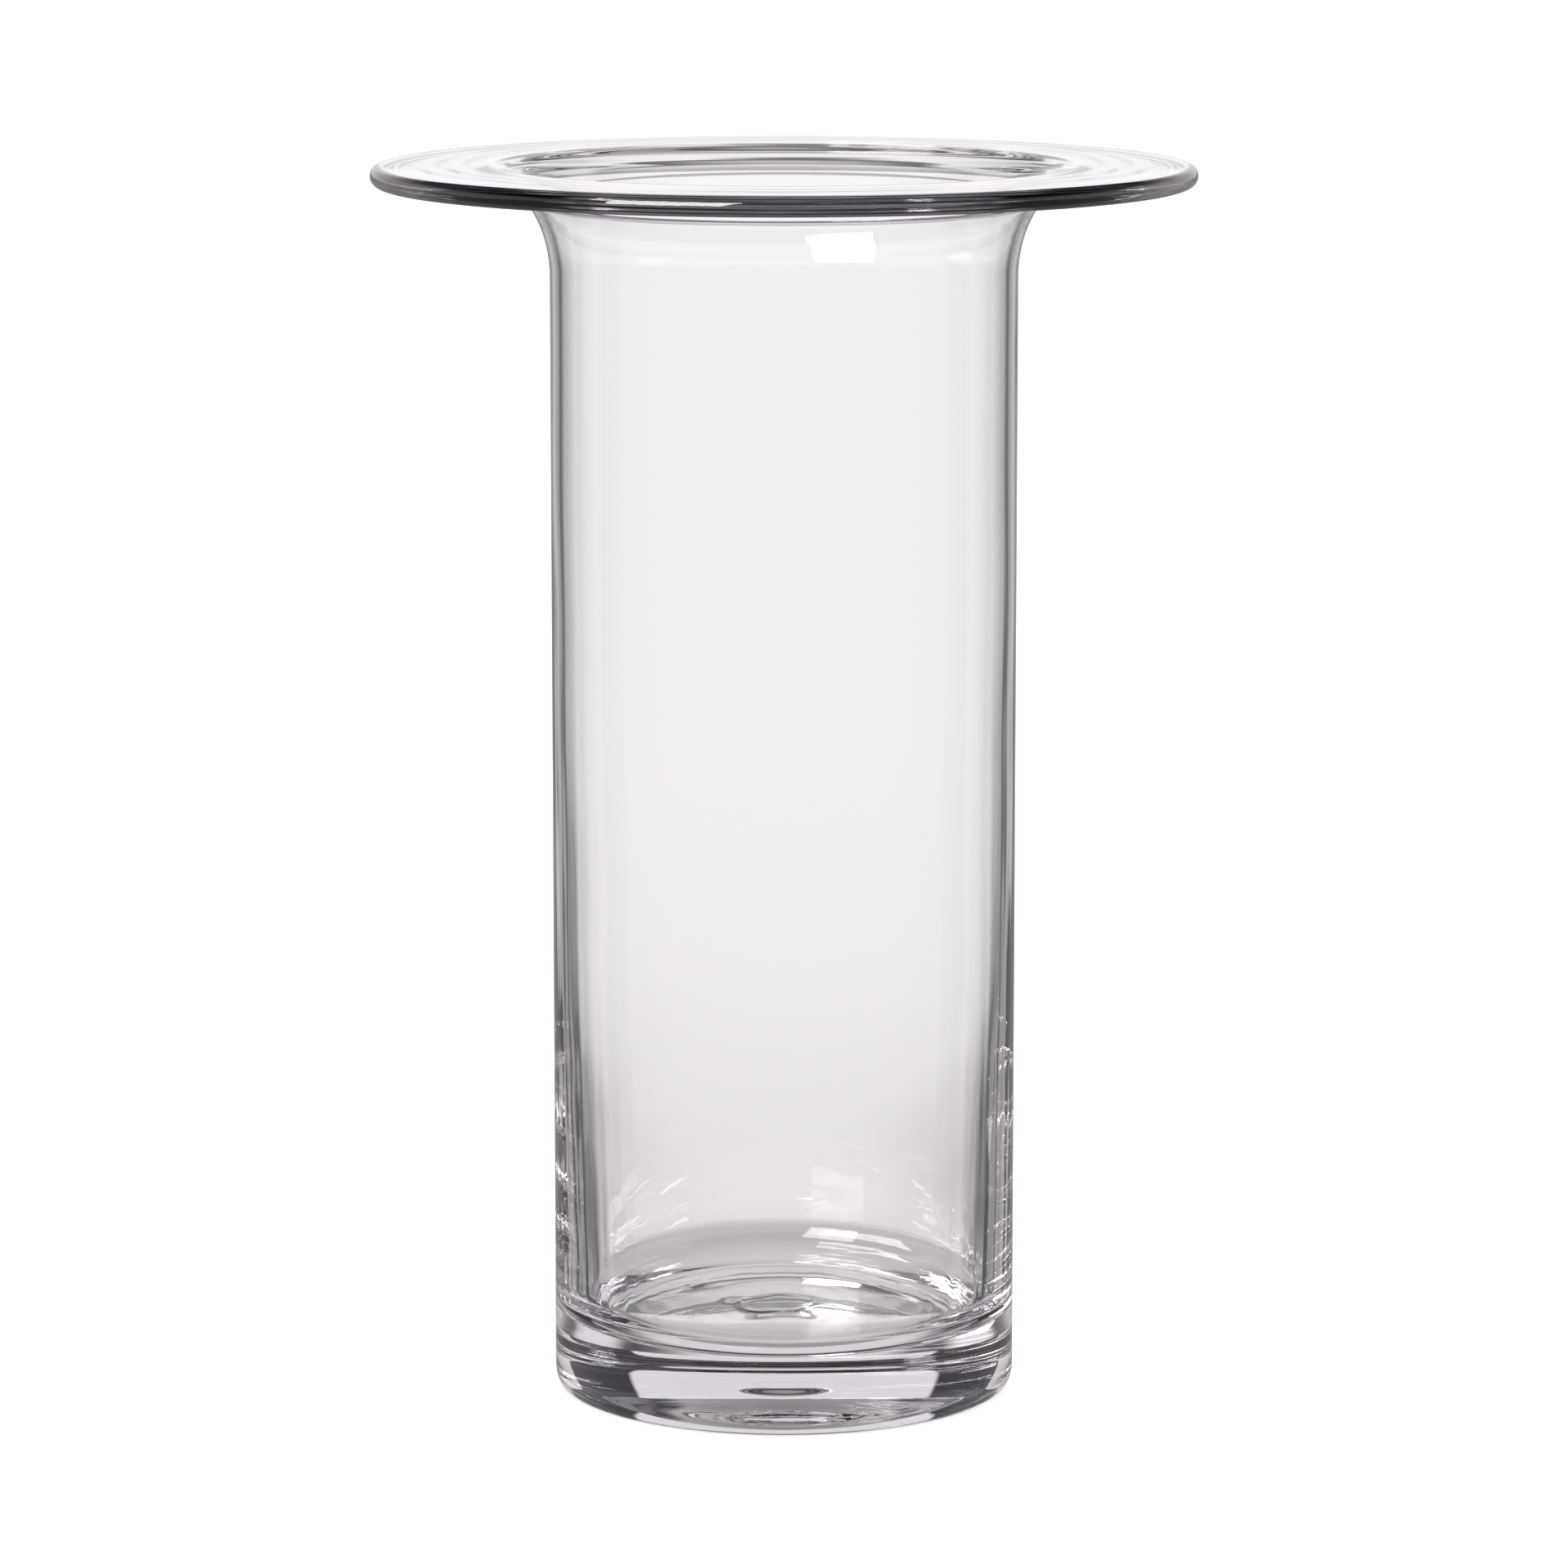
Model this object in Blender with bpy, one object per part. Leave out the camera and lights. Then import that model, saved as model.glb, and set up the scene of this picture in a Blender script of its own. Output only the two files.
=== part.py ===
"""Wide-brimmed cylinder vase of clear blown glass.

The vase is turned about +Z and stands on Z = 0. The real glass is one continuous piece. Here it is
divided where a glassmaker changes its name, from the bottom up: base, heel, body, flare, brim, lip.
Each zone is one closed solid, and a hairline gap keeps neighbouring zones from overlapping.
"""

import math

import bmesh
import bpy

# Overall sizes, in metres
OVERALL_HEIGHT = 0.302
BODY_RADIUS = 0.05675  # outside of the cylinder
BRIM_RADIUS = 0.100  # outermost edge of the lip

# Base: a thick solid disc with a rounded lower edge and a shallow polished recess underneath
FLOOR_THICKNESS = 0.017
BASE_EDGE_WIDTH = 0.0025
BASE_EDGE_HEIGHT = 0.0045
BEARING_WIDTH = 0.01025  # of the flat ring that the vase stands on
RECESS_DEPTH = 0.003

# Heel: the ring whose inner side rounds the floor up into the wall
CORNER_RADIUS = 0.010
TOE_HEIGHT = 0.0005  # blunt inner edge of the ring, so that it isn't a knife edge

# Body: a straight cylinder outside, with a wall that grows thicker towards the base
WALL_THICKNESS = 0.0025  # of the upper wall
EXTRA_THICKNESS = 0.0055  # what the wall gains at the foot
EXTRA_HEIGHT = 0.090  # how far up the wall that gain reaches

# Flare: concentric quarter ellipses that turn the wall out into the brim
FLARE_WIDTH = 0.0145
FLARE_HEIGHT = 0.023

# Brim and lip: a level plate, and the thicker round edge that the flame leaves on it
BRIM_THICKNESS = 0.0044
LIP_THICKNESS = 0.0051
LIP_WIDTH = 0.007

ZONE_GAP = 0.0003  # hairline between two zones
SEGMENTS = 72  # facets round the axis
CORNER_STEPS = 6  # facets along a quarter turn
WALL_STEPS = 10  # facets up the inside of the body
SHARP_ANGLE = math.radians(35)

# Heights and radii that follow from the sizes above
RECESS_RADIUS = BODY_RADIUS - BASE_EDGE_WIDTH - BEARING_WIDTH
HEEL_TOP = FLOOR_THICKNESS + CORNER_RADIUS
BRIM_UNDERSIDE = OVERALL_HEIGHT - BRIM_THICKNESS
FLARE_FOOT = BRIM_UNDERSIDE - FLARE_HEIGHT
FLARE_RADIUS = BODY_RADIUS + FLARE_WIDTH
LIP_INNER_RADIUS = BRIM_RADIUS - LIP_WIDTH


def clear_scene():
    for thing in list(bpy.data.objects):
        bpy.data.objects.remove(thing)


def clear_glass():
    material = bpy.data.materials.new("clear_glass")
    material.use_nodes = True
    shader = material.node_tree.nodes["Principled BSDF"]
    shader.inputs["Base Color"].default_value = (0.97, 0.97, 0.98, 1.0)
    shader.inputs["Metallic"].default_value = 0.0
    shader.inputs["Roughness"].default_value = 0.02
    shader.inputs["IOR"].default_value = 1.5
    shader.inputs["Transmission Weight"].default_value = 1.0
    return material


def inner_radius(height):
    """Inside radius of the cylinder: the gain in thickness fades upwards as a bell curve."""
    extra = EXTRA_THICKNESS * math.exp(-((height / EXTRA_HEIGHT) ** 2))
    return BODY_RADIUS - WALL_THICKNESS - extra


def arc(centre, half_width, half_height, start, end, steps):
    """Points (radius, height) along an ellipse about centre, from start to end in degrees."""
    points = []
    for step in range(steps + 1):
        angle = math.radians(start + (end - start) * step / steps)
        radius = centre[0] + half_width * math.cos(angle)
        points.append((radius, centre[1] + half_height * math.sin(angle)))
    return points


def turned(name, outline, material, parent):
    """A solid of revolution. The outline is closed, or starts and ends on the axis."""
    shape = bmesh.new()
    corners = [shape.verts.new((radius, 0.0, height)) for radius, height in outline]
    edges = [shape.edges.new(pair) for pair in zip(corners, corners[1:])]
    if outline[0][0] > 0.0:
        edges.append(shape.edges.new((corners[-1], corners[0])))
    bmesh.ops.spin(
        shape,
        geom=corners + edges,
        cent=(0, 0, 0),
        axis=(0, 0, 1),
        angle=2 * math.pi,
        steps=SEGMENTS,
        use_merge=True,
    )
    bmesh.ops.remove_doubles(shape, verts=shape.verts, dist=1e-6)
    bmesh.ops.recalc_face_normals(shape, faces=shape.faces)
    mesh = bpy.data.meshes.new(name)
    shape.to_mesh(mesh)
    shape.free()
    mesh.shade_smooth()
    mesh.set_sharp_from_angle(angle=SHARP_ANGLE)
    mesh.materials.append(material)
    zone = bpy.data.objects.new(name, mesh)
    zone.parent = parent
    bpy.context.scene.collection.objects.link(zone)
    return zone


def base_outline():
    """Recess, bearing ring, rounded edge, side and floor, from the axis back to the axis."""
    recess = []
    for step in range(CORNER_STEPS + 1):
        share = step / CORNER_STEPS
        recess.append((RECESS_RADIUS * share, RECESS_DEPTH * (1 - share**2)))
    edge_centre = (BODY_RADIUS - BASE_EDGE_WIDTH, BASE_EDGE_HEIGHT)
    edge = arc(edge_centre, BASE_EDGE_WIDTH, BASE_EDGE_HEIGHT, -90, 0, CORNER_STEPS)
    return recess + edge + [(BODY_RADIUS, FLOOR_THICKNESS), (0.0, FLOOR_THICKNESS)]


def heel_outline():
    """A ring that stands on the base, with a concave quarter round on its inner side."""
    foot = FLOOR_THICKNESS + ZONE_GAP
    centre = (inner_radius(HEEL_TOP) - CORNER_RADIUS, HEEL_TOP)
    toe_drop = (HEEL_TOP - foot - TOE_HEIGHT) / CORNER_RADIUS
    toe_angle = -math.degrees(math.asin(toe_drop))
    corner = arc(centre, CORNER_RADIUS, CORNER_RADIUS, toe_angle, 0, CORNER_STEPS)
    toe = (corner[0][0], foot)
    return [(BODY_RADIUS, foot), (BODY_RADIUS, HEEL_TOP)] + corner[::-1] + [toe]


def body_outline():
    """A tube, straight outside, whose wall thins upwards inside."""
    foot = HEEL_TOP + ZONE_GAP
    top = FLARE_FOOT - ZONE_GAP
    heights = [foot + (top - foot) * step / WALL_STEPS for step in range(WALL_STEPS + 1)]
    inside = [(inner_radius(height), height) for height in reversed(heights)]
    return [(BODY_RADIUS, foot), (BODY_RADIUS, top)] + inside


def flare_outline():
    """Two concentric quarter ellipses. The inner one is larger by the wall and the brim."""
    centre = (FLARE_RADIUS, FLARE_FOOT)
    throat_width = FLARE_RADIUS - inner_radius(FLARE_FOOT)
    throat_height = OVERALL_HEIGHT - FLARE_FOOT
    outside = arc(centre, FLARE_WIDTH, FLARE_HEIGHT, 180, 90, 2 * CORNER_STEPS)
    inside = arc(centre, throat_width, throat_height, 90, 180, 2 * CORNER_STEPS)
    return outside + inside


def brim_outline():
    """A level plate between the flare and the lip."""
    inner, outer = FLARE_RADIUS + ZONE_GAP, LIP_INNER_RADIUS - ZONE_GAP
    low, high = BRIM_UNDERSIDE, OVERALL_HEIGHT
    return [(inner, low), (outer, low), (outer, high), (inner, high)]


def lip_outline():
    """The rim's edge, flush on top, full below, and round outside."""
    half = LIP_THICKNESS / 2
    centre = (BRIM_RADIUS - half, OVERALL_HEIGHT - half)
    nose = arc(centre, half, half, -90, 90, 2 * CORNER_STEPS)
    return [(LIP_INNER_RADIUS, BRIM_UNDERSIDE)] + nose + [(LIP_INNER_RADIUS, OVERALL_HEIGHT)]


def build():
    clear_scene()
    vase = bpy.data.objects.new("vase", None)
    bpy.context.scene.collection.objects.link(vase)
    glass = clear_glass()
    turned("base", base_outline(), glass, vase)
    turned("heel", heel_outline(), glass, vase)
    turned("body", body_outline(), glass, vase)
    turned("flare", flare_outline(), glass, vase)
    turned("brim", brim_outline(), glass, vase)
    turned("lip", lip_outline(), glass, vase)


build()
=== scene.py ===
"""Clear blown-glass cylinder vase with a wide level brim, standing on a pale studio floor."""

import math

import bpy
import numpy as np
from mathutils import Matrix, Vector


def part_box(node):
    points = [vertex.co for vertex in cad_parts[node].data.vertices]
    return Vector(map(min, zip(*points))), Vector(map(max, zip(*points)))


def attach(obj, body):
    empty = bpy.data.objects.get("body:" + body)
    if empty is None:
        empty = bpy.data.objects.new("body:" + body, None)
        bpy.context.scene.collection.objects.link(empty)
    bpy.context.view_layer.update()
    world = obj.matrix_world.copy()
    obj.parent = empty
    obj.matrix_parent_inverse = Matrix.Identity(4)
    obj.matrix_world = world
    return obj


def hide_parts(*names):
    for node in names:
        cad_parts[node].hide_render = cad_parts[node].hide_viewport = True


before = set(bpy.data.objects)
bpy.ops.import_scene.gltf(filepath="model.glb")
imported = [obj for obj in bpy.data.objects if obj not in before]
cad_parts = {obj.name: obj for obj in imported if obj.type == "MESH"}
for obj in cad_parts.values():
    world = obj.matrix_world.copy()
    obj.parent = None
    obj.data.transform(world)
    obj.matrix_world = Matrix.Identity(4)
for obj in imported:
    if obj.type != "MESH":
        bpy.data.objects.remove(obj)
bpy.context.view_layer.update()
scene = bpy.context.scene

# ---------------------------------------------------------------------------------------------
# The glass. One gather of clear soda-lime glass, blown in a mould, its brim spun out hot and its
# edge fire-polished. Outside it is true to the mould. Inside it is free-formed, so the bore wanders
# and the floor keeps the swirl that the blowing iron leaves.

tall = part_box("brim")[1].z
body_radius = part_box("body")[1].x
brim_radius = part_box("lip")[1].x
lip_inner_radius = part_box("brim")[1].x
flare_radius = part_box("flare")[1].x
flare_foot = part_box("flare")[0].z
brim_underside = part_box("brim")[0].z
lip_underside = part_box("lip")[0].z
floor_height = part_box("base")[1].z
heel_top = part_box("heel")[1].z

RECESS_RADIUS = 0.044
RECESS_DEPTH = 0.003
IRON_MARK_RADIUS = 0.008
IRON_MARK_HEIGHT = 0.0007
BASE_EDGE_WIDTH = 0.0025
BASE_EDGE_HEIGHT = 0.0045
WALL = 0.0025
EXTRA_WALL = 0.0055  # what the wall gains at the foot
EXTRA_HEIGHT = 0.090  # how far up the wall that gain reaches
SPUN_RIDGE = 0.00004  # height of the spinning ridges, in the throat and on the brim
ROUND = 332  # points round the axis


def run(start, end, count):
    """Evenly spaced points from start to end, without the last, so that runs can be chained."""
    share = np.arange(count)[:, None] / count
    return np.array(start) * (1 - share) + np.array(end) * share


def quarter(centre, half_width, half_height, start, end, count):
    """Points along an ellipse about centre, between two angles in degrees, without the last."""
    angle = np.radians(start + (end - start) * np.arange(count) / count)
    across = centre[0] + half_width * np.cos(angle)
    up = centre[1] + half_height * np.sin(angle)
    return np.stack([across, up], 1)


def bore_radius(height):
    """Radius of the bore: the wall thickens downwards as a bell curve."""
    return body_radius - WALL - EXTRA_WALL * np.exp(-((height / EXTRA_HEIGHT) ** 2))


def fade(value, start, end):
    """0 before start, 1 after end, smooth in between (either way round)."""
    share = np.clip((value - start) / (end - start), 0.0, 1.0)
    return share * share * (3 - 2 * share)


def recess():
    """Points of the polished hollow: a shallow paraboloid, with the iron's mark as a flat bell."""
    share = np.linspace(0.0, 1.0, 37, endpoint=False)[1:]
    mark = IRON_MARK_HEIGHT * np.exp(-((RECESS_RADIUS * share / IRON_MARK_RADIUS) ** 4))
    return np.stack([RECESS_RADIUS * share, RECESS_DEPTH * (1 - share**2) + mark], 1)


def throat():
    """Points from the brim's top down into the bore: a quarter ellipse with fine spinning ridges.

    The ridges are a sine along the curve under a slower one. They stand towards the middle of the
    ellipse, and fade out where the throat turns upright.
    """
    width = flare_radius - bore_radius(flare_foot)
    curve = quarter((flare_radius, flare_foot), width, tall - flare_foot, 90, 180, 66)
    steps = np.hypot(*np.diff(curve, axis=0).T)
    along = np.concatenate([[0], np.cumsum(steps)])
    swell = np.sin(along * 330 + 0.4) * (1 - fade(along, 0.012, 0.028))
    ridge = SPUN_RIDGE * np.sin(along * 1500) * swell
    towards = np.array([flare_radius, flare_foot]) - curve
    return curve + towards / np.hypot(*towards.T)[:, None] * ridge[:, None]


def vase_profile():
    """The outline (radius, height) from the middle of the underside, round the lip, to the floor.

    It is a chain of straight runs and quarter ellipses. How many of its points lie outside, up to
    the lip's top, comes with it.
    """
    edge_foot = body_radius - BASE_EDGE_WIDTH
    flare_width = flare_radius - body_radius
    lip_half = (tall - lip_underside) / 2
    nose = (brim_radius - lip_half, tall - lip_half)
    outside = [
        recess(),
        run((RECESS_RADIUS, 0.0), (edge_foot, 0.0), 6),
        quarter((edge_foot, BASE_EDGE_HEIGHT), BASE_EDGE_WIDTH, BASE_EDGE_HEIGHT, -90, 0, 12),
        run((body_radius, BASE_EDGE_HEIGHT), (body_radius, flare_foot), 6),
        quarter((flare_radius, flare_foot), flare_width, brim_underside - flare_foot, 180, 90, 16),
        run((flare_radius, brim_underside), (lip_inner_radius, brim_underside), 6),
        run((lip_inner_radius, brim_underside), (nose[0], lip_underside), 3),
        quarter(nose, lip_half, lip_half, -90, 90, 16),
    ]
    corner = heel_top - floor_height
    corner_middle = (bore_radius(heel_top) - corner, heel_top)
    wall_heights = np.linspace(flare_foot, heel_top, 56, endpoint=False)
    inside = [
        run((nose[0], tall), (flare_radius, tall), 12),
        throat(),
        np.stack([bore_radius(wall_heights), wall_heights], 1),
        quarter(corner_middle, corner, corner, 0, -90, 12),
        run((corner_middle[0], floor_height), (0.0, floor_height), 46),
    ]
    return np.concatenate(outside + inside), sum(len(part) for part in outside)


def bore_waves(angle, height):
    """How far the inner wall stands out from true, in metres, positive into the bore.

    The bore leans to one side towards the foot. Broad waves run round and up it, and below the
    middle fine ones twist round it as the gather did on the iron. They are strongest on the two
    sides that the mould's halves touch first, and all of them grow downwards.
    """
    down = 1 - fade(height, 0.02, 0.26)
    lean = -0.0001 * down * np.cos(angle)
    sides = 0.1 + 0.9 * np.cos(angle) ** 2
    broad = (
        0.00010 * np.sin(2 * angle + 48 * height + 0.6)
        + 0.00006 * np.sin(3 * angle - 80 * height + 2.1)
        + 0.00003 * np.sin(5 * angle + 120 * height)
    )
    low = fade(height, 0.018, 0.03) * (1 - fade(height, 0.06, 0.14))
    twist = 0.00002 * np.sin(9 * angle + 260 * height + 0.5 * np.sin(3 * angle))
    drawn = 0.000012 * np.sin(64 * angle + 12 * height) + 0.000008 * np.sin(101 * angle)
    return lean + sides * ((0.3 + 0.9 * down) * broad + low * twist + down * drawn)


SWIRL_ACROSS = -0.002
SWIRL_ALONG = 0.006
SWIRL_RADIUS = 0.0085
DROP_ACROSS = -0.0125
DROP_ALONG = 0.009
CREASE_RADIUS = 0.034


def floor_waves(across, along):
    """How far the floor stands up from level, in metres.

    Rings run round it, and a fine ragged crease marks where it meets the heel. In the middle the
    iron's swirl stays as a wandering closed ridge, higher on one side, with a round drop on it.
    """
    reach = np.hypot(across, along)
    turn = np.arctan2(along - SWIRL_ALONG, across - SWIRL_ACROSS)
    near = np.hypot(across - SWIRL_ACROSS, along - SWIRL_ALONG)
    rings = 0.00001 * np.sin(reach * 1500 + 0.8 * np.sin(3 * turn)) * fade(reach, 0.006, 0.014)
    ragged = CREASE_RADIUS + 0.0004 * np.sin(7 * turn) + 0.00025 * np.sin(17 * turn + 1.0)
    crease = 0.0001 * fade(reach, ragged - 0.0003, ragged + 0.0003)
    swirl_path = SWIRL_RADIUS + 0.0012 * np.sin(2 * turn + 0.6) + 0.0004 * np.sin(5 * turn)
    swirl_height = 0.0006 * (0.65 + 0.35 * np.cos(turn - 2.7))
    swirl = swirl_height * np.exp(-(((near - swirl_path) / 0.0009) ** 2))
    from_drop = np.hypot(across - DROP_ACROSS, along - DROP_ALONG)
    drop = 0.0007 * np.exp(-((from_drop / 0.0022) ** 2))
    lumps = 0.00001 * np.sin(across * 520 + 1.0) * np.sin(along * 430 + across * 150)
    return rings + crease + swirl + drop + lumps


def brim_waves(angle, radius):
    """How far the brim's top stands up from level: spinning rings between throat and lip."""
    rings = SPUN_RIDGE * np.sin(radius * 1900 + 0.5 * np.sin(2 * angle))
    return rings * fade(radius, 0.058, 0.064) * (1 - fade(radius, 0.085, 0.095))


HEEL_FADE = 0.006  # how far up the heel the floor's waves give way to the bore's
FLARE_FADE_BELOW = 0.03  # the bore's waves die away from this far below the flare's foot
FLARE_FADE_ABOVE = 0.02  # to this far above it
BRIM_TOP_DEPTH = 0.004  # the brim's rings lie within this of its top
NEAR_AXIS = 1e-4  # keeps the share below from dividing by 0 on the axis


def free_formed(rings, angle, profile, outside_count):
    """Moves the true turned surface by the waves of the face that each ring belongs to.

    The bore's waves move a point along its radius, the floor's and the brim's move it up. The
    bore's fade out in the flare, and on the heel's curve, where the floor's take over. The outside
    stays true.
    """
    across, along, height = rings[..., 0], rings[..., 1], rings[..., 2]
    radius = np.hypot(across, along)
    ring_height = profile[:, 1:2]
    inside = (np.arange(len(profile)) >= outside_count)[:, None]
    on_top = inside & (ring_height > tall - BRIM_TOP_DEPTH)
    upright = fade(ring_height, floor_height, floor_height + HEEL_FADE)
    flared = fade(height, flare_foot - FLARE_FADE_BELOW, flare_foot + FLARE_FADE_ABOVE)
    inward = np.where(inside, bore_waves(angle, height) * upright * (1 - flared), 0.0)
    share = 1 - inward / np.maximum(radius, NEAR_AXIS)
    lift = np.where(inside, floor_waves(across, along) * (1 - upright), 0.0)
    lift = lift + np.where(on_top, brim_waves(angle, radius), 0.0)
    return np.stack([across * share, along * share, height + lift], 2)


def turned_glass():
    """A surface of revolution: each profile point goes round the axis, and both ends meet on it."""
    profile, outside_count = vase_profile()
    angle = np.arange(ROUND) * 2 * np.pi / ROUND
    radius = profile[:, 0][:, None]
    height = np.repeat(profile[:, 1][:, None], ROUND, 1)
    rings = np.stack([radius * np.cos(angle), radius * np.sin(angle), height], 2)
    rings = free_formed(rings, angle[None, :], profile, outside_count)
    under_middle, floor_middle = rings[0].mean(0), rings[-1].mean(0)
    points = np.concatenate([rings.reshape(-1, 3), [under_middle, floor_middle]])
    near = np.arange(ROUND)
    far = (near + 1) % ROUND
    row = np.arange(len(profile) - 1)[:, None] * ROUND
    quads = np.stack([row + near, row + far, row + ROUND + far, row + ROUND + near], 2)
    under_index = len(profile) * ROUND
    floor_index = under_index + 1
    last_row = under_index - ROUND
    lower_cap = np.stack([np.full(ROUND, under_index), far, near], 1)
    upper_cap = np.stack([np.full(ROUND, floor_index), last_row + near, last_row + far], 1)
    faces = quads.reshape(-1, 4).tolist() + lower_cap.tolist() + upper_cap.tolist()
    mesh = bpy.data.meshes.new("vase_glass")
    mesh.from_pydata(points.tolist(), [], faces)
    mesh.shade_smooth()
    return mesh


def clear_glass():
    """Colourless glass, faintly lilac in its depth, with drawn-out cords.

    The cords are a noise stretched along a slanting axis and used as a very shallow bump. It is
    strongest in the base and almost gone by the middle of the wall.
    """
    material = bpy.data.materials.new("clear_glass")
    material.use_nodes = True
    nodes, links = material.node_tree.nodes, material.node_tree.links
    shader = nodes["Principled BSDF"]
    shader.inputs["Base Color"].default_value = (1.0, 1.0, 1.0, 1.0)
    shader.inputs["Roughness"].default_value = 0.0
    shader.inputs["IOR"].default_value = 1.52
    shader.inputs["Transmission Weight"].default_value = 1.0
    place = nodes.new("ShaderNodeTexCoord").outputs["Object"]
    stretched = nodes.new("ShaderNodeMapping")
    links.new(place, stretched.inputs["Vector"])
    stretched.inputs["Rotation"].default_value = (0.0, 0.5, 0.5)
    stretched.inputs["Scale"].default_value = (260.0, 260.0, 60.0)
    cords = nodes.new("ShaderNodeTexNoise")
    links.new(stretched.outputs[0], cords.inputs["Vector"])
    cords.inputs["Scale"].default_value = 1.0
    cords.inputs["Detail"].default_value = 2.0
    cords.inputs["Distortion"].default_value = 0.6
    place_parts = nodes.new("ShaderNodeSeparateXYZ")
    links.new(place, place_parts.inputs[0])
    strength = nodes.new("ShaderNodeMapRange")
    links.new(place_parts.outputs["Z"], strength.inputs["Value"])
    strength.inputs["From Min"].default_value = 0.02
    strength.inputs["From Max"].default_value = 0.14
    strength.inputs["To Min"].default_value = 1.0
    strength.inputs["To Max"].default_value = 0.06
    bump = nodes.new("ShaderNodeBump")
    bump.inputs["Distance"].default_value = 0.000008
    links.new(strength.outputs[0], bump.inputs["Strength"])
    links.new(cords.outputs[0], bump.inputs["Height"])
    links.new(bump.outputs[0], shader.inputs["Normal"])
    tint = nodes.new("ShaderNodeVolumeAbsorption")
    tint.inputs["Color"].default_value = (0.30, 0.24, 0.30, 1.0)
    tint.inputs["Density"].default_value = 4.0
    links.new(tint.outputs[0], nodes["Material Output"].inputs["Volume"])
    return material


vase = bpy.data.objects.new("vase_glass", turned_glass())
scene.collection.objects.link(vase)
vase.data.materials.append(clear_glass())
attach(vase, "root")
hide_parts("base", "heel", "body", "flare", "brim", "lip")

# ---------------------------------------------------------------------------------------------
# The studio floor. A sheet of matt white paper, lit so evenly that it glows a little. The glass
# neither mirrors it nor shows it: what shines through the vase comes from the surround.

FLOOR_REACH = 12.0


def white_paper():
    material = bpy.data.materials.new("white_paper")
    material.use_nodes = True
    shader = material.node_tree.nodes["Principled BSDF"]
    shader.inputs["Base Color"].default_value = (0.97, 0.97, 0.97, 1.0)
    shader.inputs["Roughness"].default_value = 1.0
    shader.inputs["Specular IOR Level"].default_value = 0.0
    shader.inputs["Emission Color"].default_value = (1.0, 1.0, 1.0, 1.0)
    shader.inputs["Emission Strength"].default_value = 0.35
    return material


floor_corners = [
    (-FLOOR_REACH, -FLOOR_REACH, 0),
    (FLOOR_REACH, -FLOOR_REACH, 0),
    (FLOOR_REACH, FLOOR_REACH, 0),
    (-FLOOR_REACH, FLOOR_REACH, 0),
]
floor_mesh = bpy.data.meshes.new("floor")
floor_mesh.from_pydata(floor_corners, [], [(0, 1, 2, 3)])
floor_mesh.materials.append(white_paper())
floor = bpy.data.objects.new("floor", floor_mesh)
scene.collection.objects.link(floor)
floor.visible_transmission = False
floor.visible_glossy = False

# ---------------------------------------------------------------------------------------------
# The surround. White walls, a white table and grey cards, which only the glass sees. Its level
# follows the way that a ray goes, and how often the ray crossed the glass and bounced before.

world = bpy.data.worlds.new("studio")
scene.world = world
world.use_nodes = True
tree = world.node_tree
tree.nodes.clear()


def feed(socket, term):
    """Gives a socket its term, which is a number or another node's output."""
    if isinstance(term, (int, float)):
        socket.default_value = term
    else:
        tree.links.new(term, socket)


def maths(operation, *terms):
    """One sum, product or comparison of numbers or outputs."""
    made = tree.nodes.new("ShaderNodeMath")
    made.operation = operation
    for socket, term in zip(made.inputs, terms):
        feed(socket, term)
    return made.outputs[0]


def blend(share, one, other):
    """One where share is 0, other where it is 1, mixed in between."""
    made = tree.nodes.new("ShaderNodeMix")
    feed(made.inputs["Factor"], share)
    feed(made.inputs["A"], one)
    feed(made.inputs["B"], other)
    return made.outputs["Result"]


def ramp(value, low, high, start=0.0, end=1.0):
    """Start below low, end above high, smooth in between. Low and high are in degrees."""
    made = tree.nodes.new("ShaderNodeMapRange")
    made.interpolation_type = "SMOOTHSTEP"
    feed(made.inputs["Value"], value)
    made.inputs["From Min"].default_value = math.radians(low)
    made.inputs["From Max"].default_value = math.radians(high)
    made.inputs["To Min"].default_value = start
    made.inputs["To Max"].default_value = end
    return made.outputs[0]


def colours_along(value, stops):
    """Colours that follow a value between 0 and 1, straight between stops inside that range."""
    made = tree.nodes.new("ShaderNodeValToRGB")
    feed(made.inputs[0], value)
    for place, colour in stops:
        stop = made.color_ramp.elements.new(place)
        stop.color = (*colour, 1.0)
    for own_end in (0, -1):
        made.color_ramp.elements.remove(made.color_ramp.elements[own_end])
    return made.outputs[0]


def by_degrees(value, *stops):
    """A level that follows an angle between -90 and 90 degrees, straight between its stops."""
    share = maths("MULTIPLY_ADD", value, 1 / math.pi, 0.5)
    return colours_along(share, [(degrees / 180 + 0.5, (level,) * 3) for degrees, level in stops])


# The way a ray goes: its height above the horizon, and its turn about the vase folded into half a
# right angle. Its past: how often it crossed the glass's surface, and how often it bounced.
way = tree.nodes.new("ShaderNodeSeparateXYZ")
tree.links.new(tree.nodes.new("ShaderNodeTexCoord").outputs["Generated"], way.inputs[0])
x, y, z = way.outputs
elevation = maths("ARCSINE", z)
azimuth = maths("ADD", maths("ARCTAN2", x, y), math.radians(360))
turn = maths("PINGPONG", azimuth, math.radians(45))
path = tree.nodes.new("ShaderNodeLightPath").outputs
crossings = path["Transmission Depth"]
bounces = path["Glossy Depth"]
has_bounced = maths("GREATER_THAN", bounces, 0.5)
bounced_again = maths("GREATER_THAN", bounces, 1.5)
steep = by_degrees(elevation, (-50, 1.0), (-32, 0.0))

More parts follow.
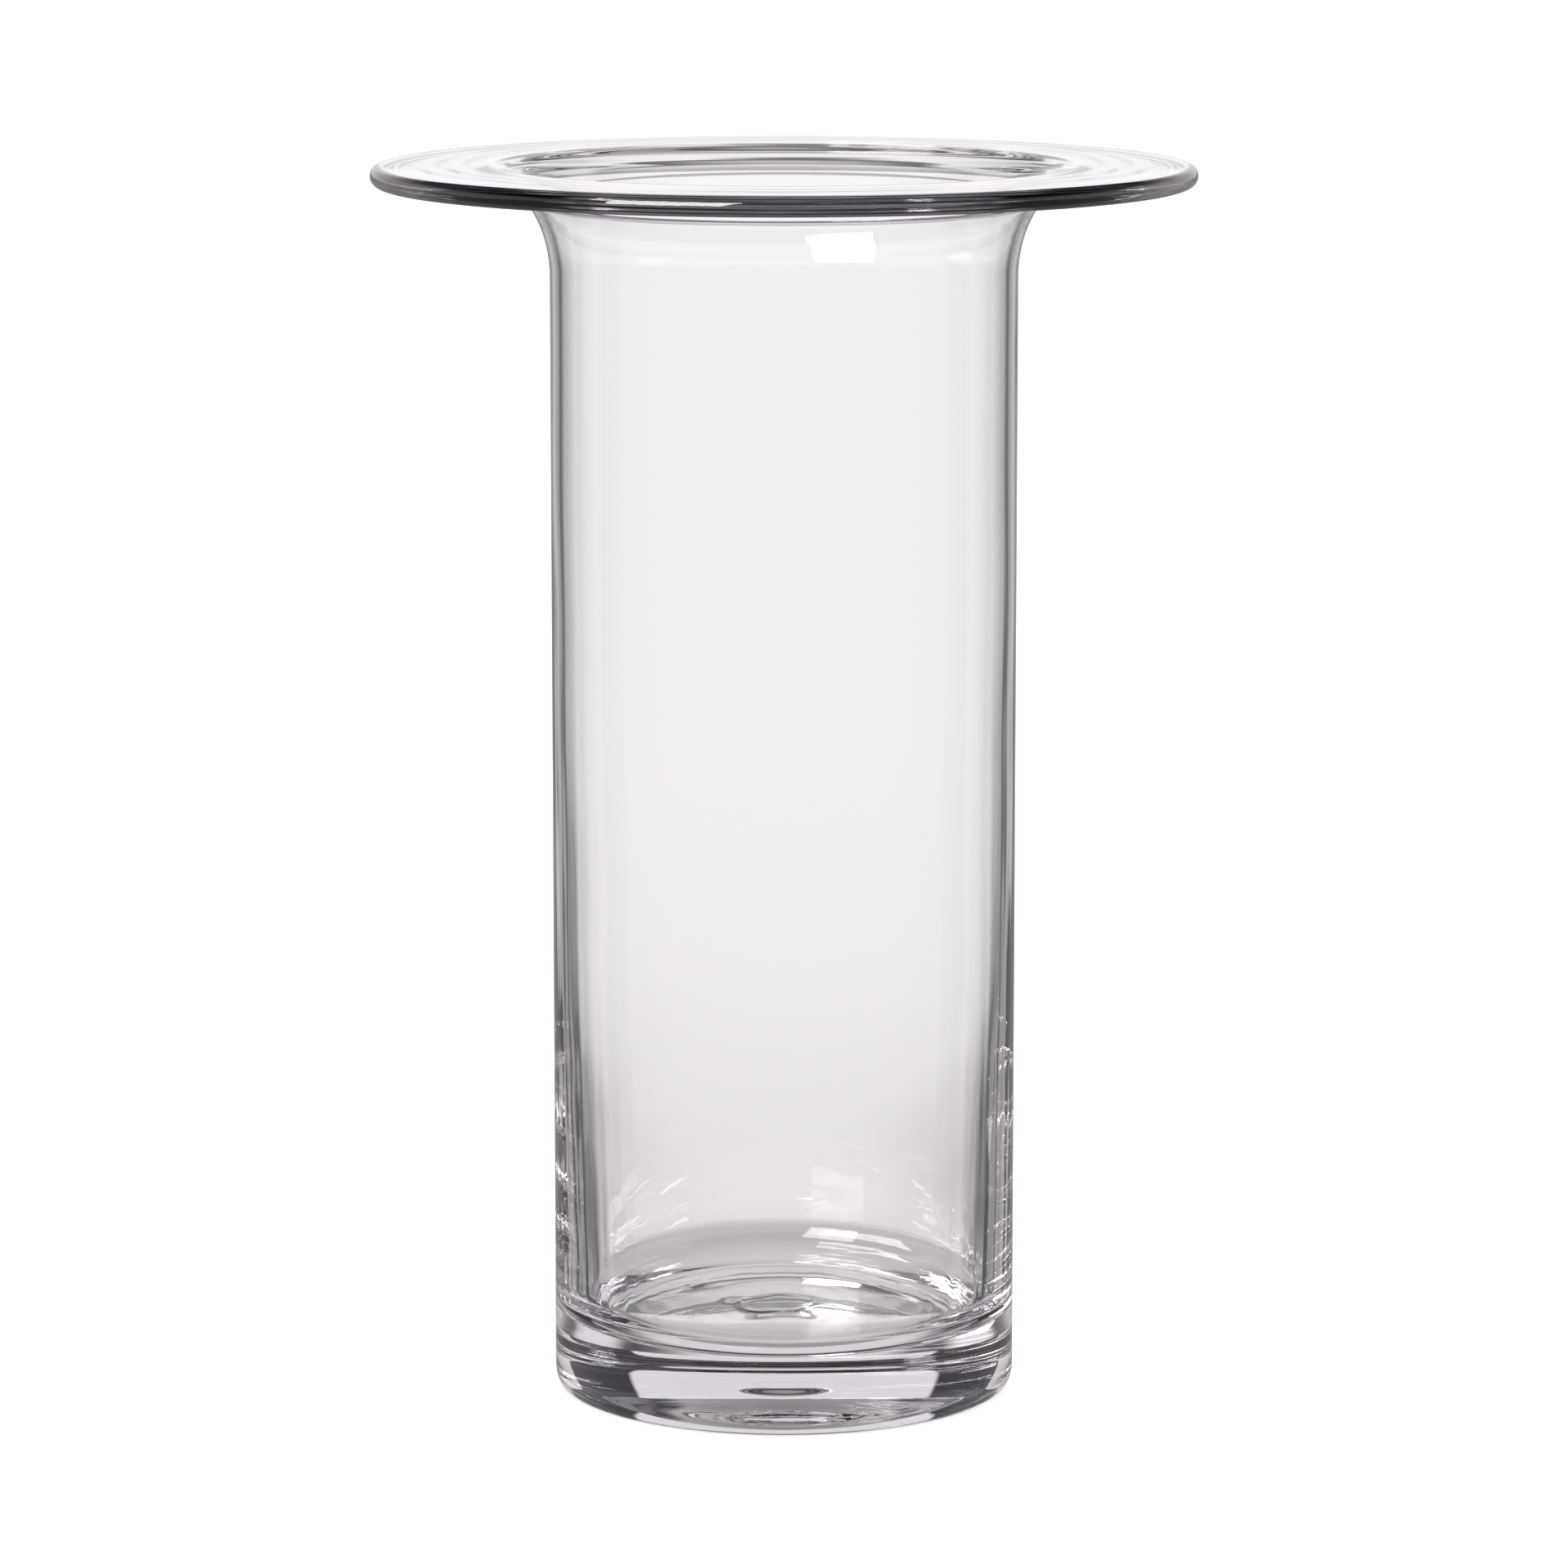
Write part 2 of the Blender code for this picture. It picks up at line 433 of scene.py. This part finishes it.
# Straight through: a white table that greys as the view steepens, and dark cards standing round
# it, which steep rays miss.
table = by_degrees(
    elevation,
    (-60, 0.72), (-40, 0.62), (-30, 0.56), (-21, 0.58), (-18, 0.72),
    (-16.4, 0.86), (-15.7, 0.92), (-14, 0.97), (-10, 1.0),
)
side_cards = by_degrees(
    turn,
    (10, 1.0), (14, 0.9), (17, 0.74), (20, 0.5), (24, 0.25),
    (29, 0.14), (32, 0.2), (36, 0.8), (39, 1.0), (45, 1.0),
)
straight = maths("MULTIPLY", table, blend(steep, side_cards, 1.0))

# After a bounce: grey bands round the vase, softer after a second bounce and then darker at a
# middling slant. Steeply down it is nearly white.
STEEP_WHITE = 0.9
bands = by_degrees(
    turn,
    (0, 0.10), (8, 0.08), (14, 0.10), (16, 0.62), (20, 0.68), (25, 0.46), (29, 0.38),
    (31.5, 0.10), (34.5, 0.06), (36.5, 0.38), (40, 0.36), (42, 0.10), (45, 0.10),
)
soft_bands = by_degrees(
    turn,
    (0, 0.45), (10, 0.5), (18, 0.6), (21, 0.3), (25, 0.14), (27, 0.3), (34, 0.4), (45, 0.3),
)
middling_slant = by_degrees(elevation, (-44, 1.0), (-37, 0.2), (-31, 0.2), (-28.5, 1.0))
soft_bands = maths("MULTIPLY", soft_bands, middling_slant)
towards_foot = by_degrees(elevation, (-60, 0.85), (-25, 0.85), (-21, 0.95), (-12, 1.0))
all_bands = blend(steep, blend(bounced_again, bands, soft_bands), STEEP_WHITE)
bounced = maths("MULTIPLY", towards_foot, all_bands)

# Upwards: white walls that are dark at their corners and higher up, and a pale ceiling.
walls = maths("MULTIPLY", ramp(turn, 29, 31, 1.0, 0.05), ramp(elevation, 36, 44, 1.0, 0.04))
ceiling = by_degrees(elevation, (40, 0.0), (58, 0.62), (89, 0.68))
above = maths("MAXIMUM", walls, ceiling)
over_horizon = ramp(elevation, 1.0, 3.0)

# The plain room, which the outer faces mirror: grey below, then white walls, a dark band and a
# pale ceiling.
room = by_degrees(
    elevation,
    (-1, 0.42), (1, 1.0), (16, 1.0), (30, 0.12), (45, 0.12), (56, 0.5), (64, 0.75),
)

# Returned light, after several crossings and a bounce, sees the room, or an even grey after still
# more crossings. What bounced again and goes down is dark, what was trapped for long has faded,
# and what comes back to the front sees the room.
EVEN_GREY = 0.68
GOING_DOWN = 0.1
FADED = 0.2
several_crossings = maths("GREATER_THAN", crossings, 3.5)
more_crossings = maths("GREATER_THAN", crossings, 5.5)
long_trapped = maths("GREATER_THAN", bounces, 8.5)
downwards = maths("LESS_THAN", z, 0.0)
frontwards = maths("LESS_THAN", y, 0.0)
returned = blend(more_crossings, room, EVEN_GREY)
returned = blend(maths("MULTIPLY", bounced_again, downwards), returned, GOING_DOWN)
through = blend(has_bounced, straight, bounced)
through = blend(over_horizon, through, above)
through = blend(maths("MULTIPLY", several_crossings, has_bounced), through, returned)
through = maths("MULTIPLY", through, blend(long_trapped, 1.0, FADED))
through = blend(maths("MULTIPLY", frontwards, has_bounced), through, room)
level = blend(path["Is Transmission Ray"], room, through)

# Its colours run from a bluish black over a warm grey to a white with a breath of lilac. The
# camera and the paper see plain white instead.
tones = [
    (0.001, (0.008, 0.009, 0.012)),
    (0.12, (0.055, 0.058, 0.070)),
    (0.30, (0.24, 0.235, 0.245)),
    (0.5, (0.48, 0.455, 0.46)),
    (0.999, (1.0, 0.972, 1.0)),
]
surround = tree.nodes.new("ShaderNodeBackground")
tree.links.new(colours_along(level, tones), surround.inputs["Color"])
surround.inputs["Strength"].default_value = 1.0
white = tree.nodes.new("ShaderNodeBackground")
white.inputs["Color"].default_value = (1.0, 1.0, 1.0, 1.0)
white.inputs["Strength"].default_value = 1.1
either = tree.nodes.new("ShaderNodeMixShader")
tree.links.new(maths("MAXIMUM", path["Is Camera Ray"], path["Is Diffuse Ray"]), either.inputs[0])
tree.links.new(surround.outputs[0], either.inputs[1])
tree.links.new(white.outputs[0], either.inputs[2])
tree.links.new(either.outputs[0], tree.nodes.new("ShaderNodeOutputWorld").inputs[0])
world.cycles.sampling_method = "NONE"

# ---------------------------------------------------------------------------------------------
# The softbox. A big lit cloth to the left of the camera, nearly square, which shows as bright
# window shapes on the glass. It hangs higher than the vase and faces its upper half.

SOFTBOX_WIDTH = 0.95
SOFTBOX_HEIGHT = 1.0
SOFTBOX_GLOW = 17
softbox_aim = Vector((0, 0, 0.25))

softbox_light = bpy.data.lights.new("softbox", "AREA")
softbox_light.shape = "RECTANGLE"
softbox_light.size = SOFTBOX_WIDTH
softbox_light.size_y = SOFTBOX_HEIGHT
softbox_light.energy = SOFTBOX_GLOW * math.pi * SOFTBOX_WIDTH * SOFTBOX_HEIGHT
softbox = bpy.data.objects.new("softbox", softbox_light)
scene.collection.objects.link(softbox)
softbox.location = (-0.80, -1.28, 0.85)
softbox.rotation_euler = (softbox_aim - softbox.location).to_track_quat("-Z", "Y").to_euler()
softbox.visible_camera = False
softbox.visible_diffuse = False

# Clear glass takes many passes: a ray meets four faces of the wall, and more in the base.
GLASS_PASSES = 24
scene.cycles.max_bounces = GLASS_PASSES
scene.cycles.transmission_bounces = GLASS_PASSES
scene.cycles.glossy_bounces = GLASS_PASSES
scene.view_settings.view_transform = "Standard"

# ---------------------------------------------------------------------------------------------
# The camera. It stands in front of the vase, a little higher than the brim, with a long lens, and
# looks down at the middle of the vase.

camera_aim = Vector((0.0, 0.0, 0.150))

camera_data = bpy.data.cameras.new("camera")
camera_data.lens = 151.8
camera = bpy.data.objects.new("camera", camera_data)
scene.collection.objects.link(camera)
camera.location = (0.0, -1.6, 0.42)
camera.rotation_euler = (camera_aim - camera.location).to_track_quat("-Z", "Y").to_euler()
scene.camera = camera
